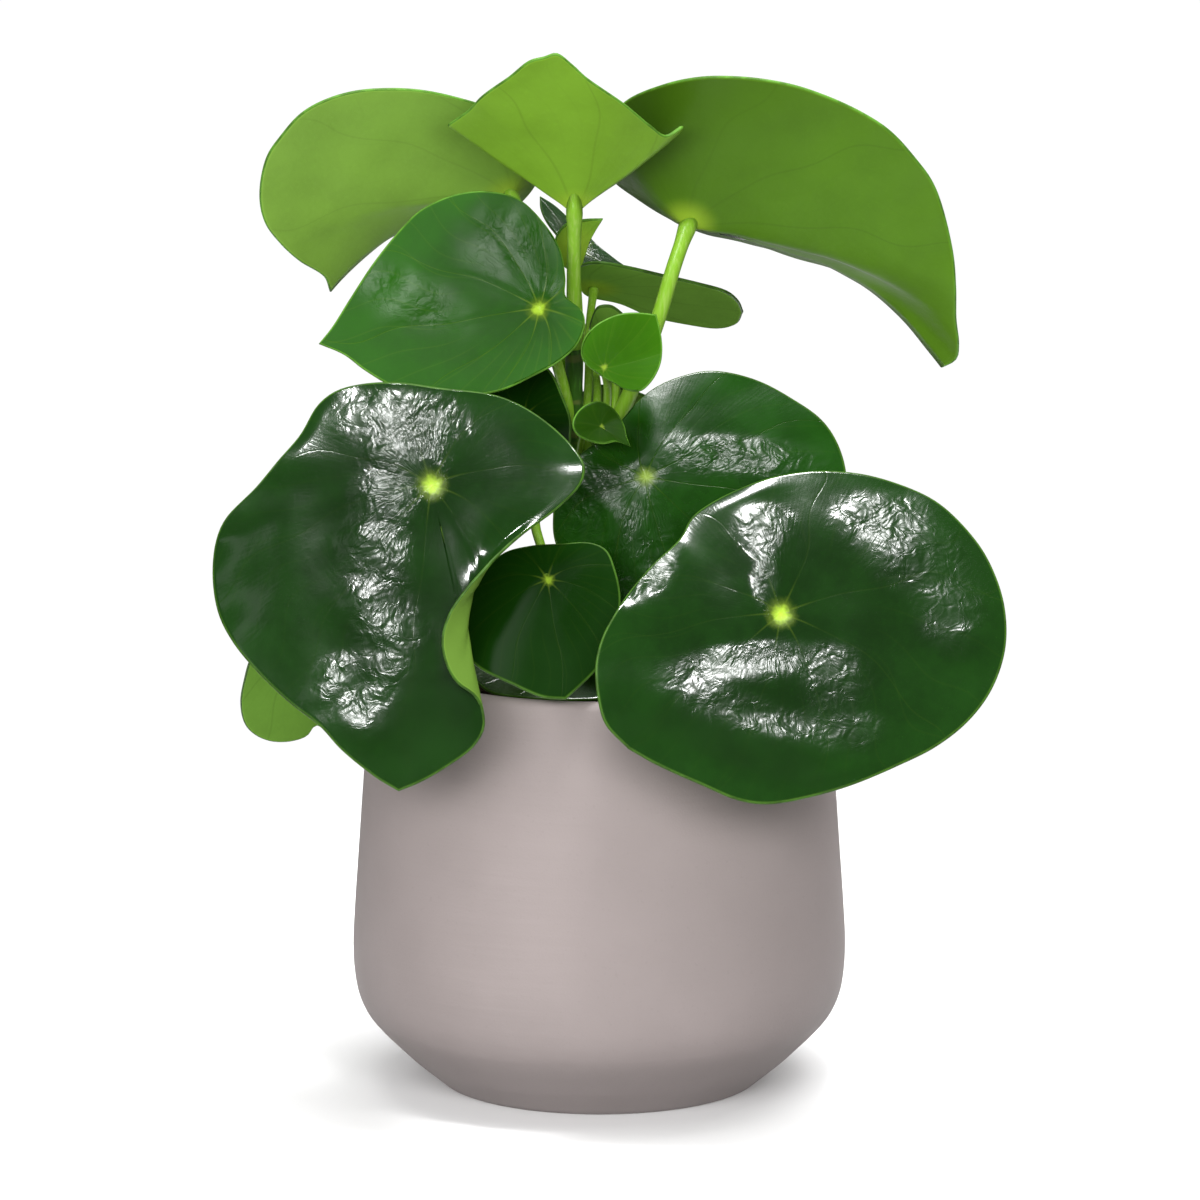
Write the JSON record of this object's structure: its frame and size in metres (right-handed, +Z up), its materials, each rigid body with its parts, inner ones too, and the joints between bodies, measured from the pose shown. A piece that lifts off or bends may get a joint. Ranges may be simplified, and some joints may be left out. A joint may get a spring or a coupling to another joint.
{
  "type": "potted peperomia",
  "caption": "Round-leaved peperomia with glossy peltate blades on upright petioles, growing from a short trunk in a matte taupe pot that tapers to a narrow foot.",
  "frame": {"origin": "centre of the pot's flat foot, on the surface that the pot stands on", "axes": "+Z up, +X to the right and +Y to the back as the plant is seen from its front"},
  "size_m": [0.2226, 0.1742, 0.3043],
  "materials": {
    "stoneware": "matte, fine-grained taupe stoneware",
    "potting_mix": "dark, crumbly potting mix",
    "stalk": "smooth, pale green, satin",
    "mature_leaf": "deep green, glossy, finely wrinkled",
    "young_leaf": "mid green, glossy, with pale veins",
    "pale_leaf": "light green underside, satin"
  },
  "bodies": {
    "root": {"pot": "stoneware", "soil": "potting_mix", "stems": "stalk", "leaf_back_left": "pale_leaf", "leaf_top": "young_leaf", "leaf_back_right": "pale_leaf", "leaf_left": "young_leaf", "leaf_front_left": "mature_leaf", "leaf_front_right": "mature_leaf", "leaf_right": "mature_leaf", "leaf_over_rim": "mature_leaf", "leaf_young_centre": "young_leaf", "leaf_bud": "young_leaf", "leaf_rear_right": "pale_leaf", "leaf_rear_left": "pale_leaf", "leaf_spear": "pale_leaf", "leaf_small_rear": "pale_leaf", "leaf_shaded": "mature_leaf", "leaf_low_left": "pale_leaf", "leaf_in_mouth": "mature_leaf", "leaf_behind_left": "mature_leaf", "leaf_behind_right": "mature_leaf"}
  },
  "joints": []
}
